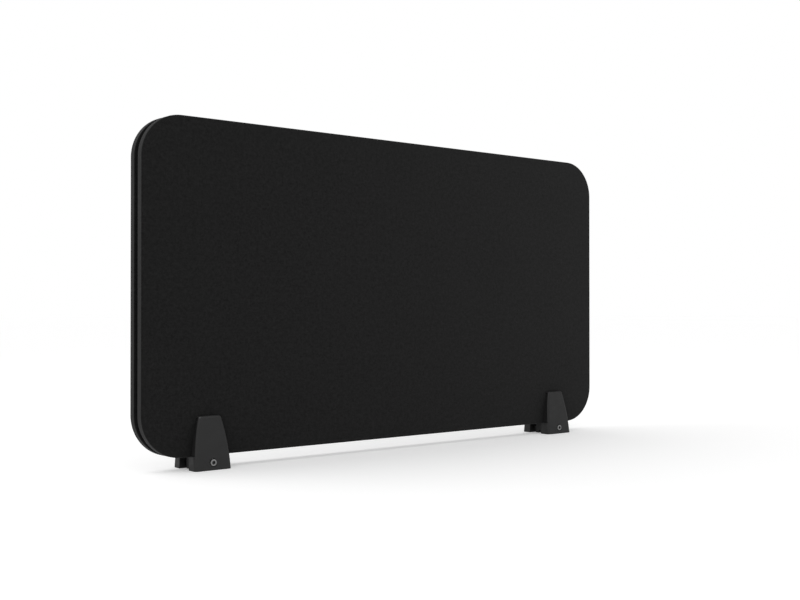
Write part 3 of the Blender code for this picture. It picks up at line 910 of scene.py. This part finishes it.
def make_foot(side):
    low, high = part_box(f"{side}_front_jaw")
    centre_x = (low.x + high.x) / 2
    make_front_jaw(side, centre_x)
    make_rear_jaw(side, centre_x)
    for end, face_y, outward, reach, ledge in (("front", FRONT_Y, -1, FRONT_REACH, FRONT_LEDGE),
                                               ("rear", REAR_Y, 1, REAR_REACH, REAR_LEDGE)):
        make_grip_pad(side, end, centre_x, face_y, outward, reach)
        make_foot_pad(side, end, centre_x, face_y, outward, reach, ledge)
    make_bolt(side, centre_x)
    make_washer(side, centre_x)
    make_nut(side, centre_x)


# ---------------------------------------------------------------- carried-over CAD nodes

def refinish_nodes():
    """The hidden boards, core and dowels keep their CAD shape and get detailed materials."""
    slots = {"front_board": "fibreboard", "rear_board": "fibreboard", "core_board": "black_core"}
    for height in ("lower", "upper"):
        for place in ("left", "middle", "right"):
            slots[f"{height}_{place}_dowel"] = "beech"
    for name, slot in slots.items():
        NODES[name].data.materials.clear()
        NODES[name].data.materials.append(MATERIALS[slot])


# ---------------------------------------------------------------- studio

def make_floor():
    """Pale floor, a little brighter to the camera than as a light."""
    bm = bmesh.new()
    bmesh.ops.create_grid(bm, x_segments=1, y_segments=1, size=30.0)
    floor = make_object("studio_floor", bm)
    made, tree, shader = new_material("studio_white", 0.9, specular=0.1)
    shader.inputs["Base Color"].default_value = (0.9, 0.9, 0.9, 1.0)
    shader.inputs["Emission Color"].default_value = (1.0, 1.0, 1.0, 1.0)
    seen = node(tree, "ShaderNodeLightPath", output="Is Camera Ray")
    plug(tree, shader.inputs["Emission Strength"], ramp(tree, seen, 0.0, 1.0, 0.2, 0.32))
    floor.data.materials.append(made)


def make_world():
    """White to the camera, a little dimmer as a light."""
    world = bpy.data.worlds.new("studio_white_room")
    world.use_nodes = True
    tree = world.node_tree
    sky = tree.nodes["Background"]
    sky.inputs["Color"].default_value = (1.0, 1.0, 1.0, 1.0)
    seen = node(tree, "ShaderNodeLightPath", output="Is Camera Ray")
    plug(tree, sky.inputs["Strength"], ramp(tree, seen, 0.0, 1.0, 0.75, 1.0))
    bpy.context.scene.world = world


def make_softbox(name, location, target, side, power, only=()):
    """A square area light. It lights everything, or only the pieces given."""
    data = bpy.data.lights.new(name, "AREA")
    data.shape = "SQUARE"
    data.size = side
    data.energy = power
    lamp = bpy.data.objects.new(name, data)
    lamp.location = location
    lamp.rotation_euler = (Vector(target) - Vector(location)).to_track_quat("-Z", "Y").to_euler()
    bpy.context.scene.collection.objects.link(lamp)
    if only:
        group = bpy.data.collections.new(f"{name}_receivers")
        for piece in only:
            group.objects.link(piece)
        lamp.light_linking.receiver_collection = group


def make_camera():
    """The photo's camera, solved from the panel's edges and corners and the feet's outlines."""
    data = bpy.data.cameras.new("camera")
    data.sensor_width = 36.0
    data.lens = CAMERA_LENS
    camera = bpy.data.objects.new("camera", data)
    camera.location = CAMERA_PLACE
    camera.rotation_euler = (math.radians(CAMERA_TILT), 0.0, math.radians(CAMERA_TURN))
    bpy.context.scene.collection.objects.link(camera)
    bpy.context.scene.camera = camera


def make_studio():
    make_floor()
    make_world()
    make_softbox("key_softbox", (-1.7, 0.8, 2.1), (-0.1, 0.0, 0.3), 1.5, 15.0)
    jaws = [piece for piece in bpy.data.objects if piece.name.endswith("_jaw_moulding")]
    make_softbox("jaw_glint_softbox", (-0.8, -0.55, 2.0), (0.0, 0.0, 0.1), 0.3, 25.0, jaws)
    make_camera()
    bpy.context.scene.view_settings.view_transform = "Standard"


make_wrap("front_fabric_wrap", FRONT_Y, 1, "front_fabric")
make_wrap("rear_fabric_wrap", REAR_Y, -1, "rear_fabric")
for foot_side in FOOT_SIDES:
    make_foot(foot_side)
refinish_nodes()
make_studio()

bpy.context.view_layer.update()
